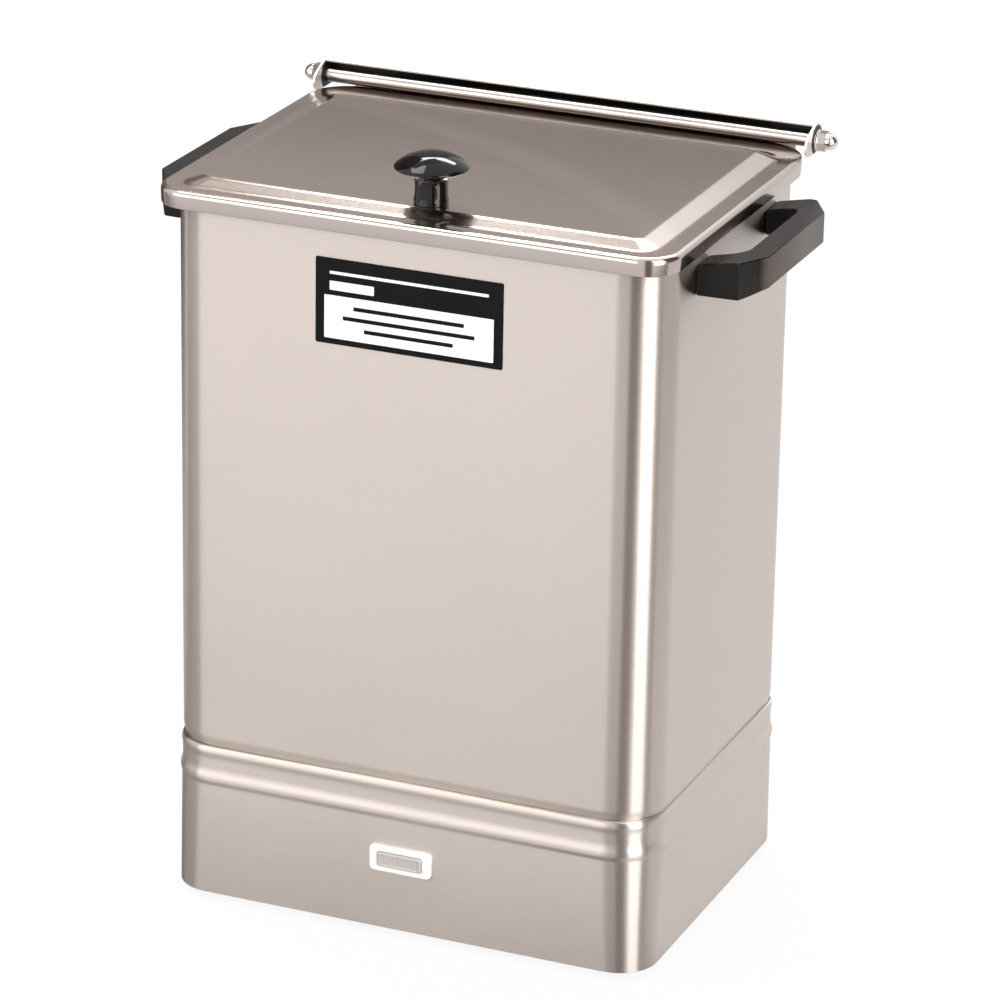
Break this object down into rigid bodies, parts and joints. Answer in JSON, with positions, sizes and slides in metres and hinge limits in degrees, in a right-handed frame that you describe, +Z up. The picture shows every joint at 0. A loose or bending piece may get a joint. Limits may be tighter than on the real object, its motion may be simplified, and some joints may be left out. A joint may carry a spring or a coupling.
{
  "type": "hot pack heater",
  "caption": "Tabletop stainless hot pack heater: deep water tank on a skirted base, hinged lid with knob, side handles, pack rack, heating element, thermostat and pilot lamp.",
  "frame": {"origin": "on the bench plane under the middle of the tank, at the undersides of the feet", "axes": "+Z up, the front with the pilot lamp faces -Y, +X to the right of someone facing the front"},
  "size_m": [0.3452, 0.2282, 0.4352],
  "materials": {
    "stainless": "satin brushed stainless sheet",
    "polished_steel": "polished stainless",
    "zinc_steel": "zinc plated",
    "knob_black": "gloss black phenolic",
    "handle_black": "satin black phenolic",
    "foot_rubber": "matt",
    "seal_rubber": "matt",
    "plate_black": "printed foil plate",
    "bezel_white": "gloss",
    "lens_grey": "frosted translucent",
    "moulded_black": "moulded",
    "block_white": "moulded",
    "element_sheath": "oxidised nickel alloy sheath",
    "brass": "bright",
    "copper": "drawn copper",
    "lead_red": "heat resistant insulation",
    "lead_white": "heat resistant insulation",
    "lead_green": "heat resistant insulation"
  },
  "bodies": {
    "cabinet": {"base_skirt": "stainless", "bottom_cover": "zinc_steel", "bulb_clips": "copper", "bulb_gland": "brass", "bulb_gland_nut": "brass", "cap_nut_left": "polished_steel", "cap_nut_right": "polished_steel", "capillary": "copper", "cord_gland": "moulded_black", "cord_gland_nut": "moulded_black", "cover_screws": "zinc_steel", "earth_nut": "zinc_steel", "earth_stud": "zinc_steel", "element_gaskets": "seal_rubber", "element_nuts": "brass", "element_terminals": "brass", "foot_front_left": "foot_rubber", "foot_front_right": "foot_rubber", "foot_nuts": "zinc_steel", "foot_rear_left": "foot_rubber", "foot_rear_right": "foot_rubber", "foot_screws": "zinc_steel", "front_plate": "plate_black", "guard_rivets": "polished_steel", "handle_left": "handle_black", "handle_right": "handle_black", "handle_screws": "zinc_steel", "handle_washers": "seal_rubber", "heating_element": "element_sheath", "hinge_guard": "stainless", "hinge_rod": "polished_steel", "hinge_washers": "polished_steel", "lamp_bezel": "bezel_white", "lamp_body": "moulded_black", "lamp_lens": "lens_grey", "lamp_tabs": "brass", "lead_earth": "lead_green", "lead_element_feed": "lead_red", "lead_element_return": "lead_white", "lead_lamp": "lead_red", "sensing_bulb": "copper", "tank_shell": "stainless", "terminal_block": "block_white", "terminal_screws": "zinc_steel", "thermostat_body": "moulded_black", "thermostat_bracket": "zinc_steel", "thermostat_nut": "zinc_steel"},
    "lid": {"lid": "stainless", "hinge_tube": "stainless", "lid_knob": "knob_black", "knob_washer": "zinc_steel", "knob_screw": "zinc_steel"},
    "thermostat_dial": {"thermostat_shaft": "zinc_steel", "thermostat_knob": "knob_black"},
    "rack": {"rack_grid": "polished_steel", "rack_divider_front": "polished_steel", "rack_divider_middle": "polished_steel", "rack_divider_rear": "polished_steel"}
  },
  "joints": [
    {"name": "lid_hinge", "type": "hinge", "parent": "cabinet", "child": "lid", "pos_m": [0, 0.1075, 0.4082], "axis": [-1, 0, 0], "range_deg": [0, 98]},
    {"name": "thermostat_turn", "type": "hinge", "parent": "cabinet", "child": "thermostat_dial", "pos_m": [0.05, -0.03, 0], "axis": [0, 0, -1], "range_deg": [0, 270]},
    {"name": "rack_lift", "type": "slide", "parent": "cabinet", "child": "rack", "axis": [0, 0, 1], "range_m": [0, 0.08]}
  ]
}
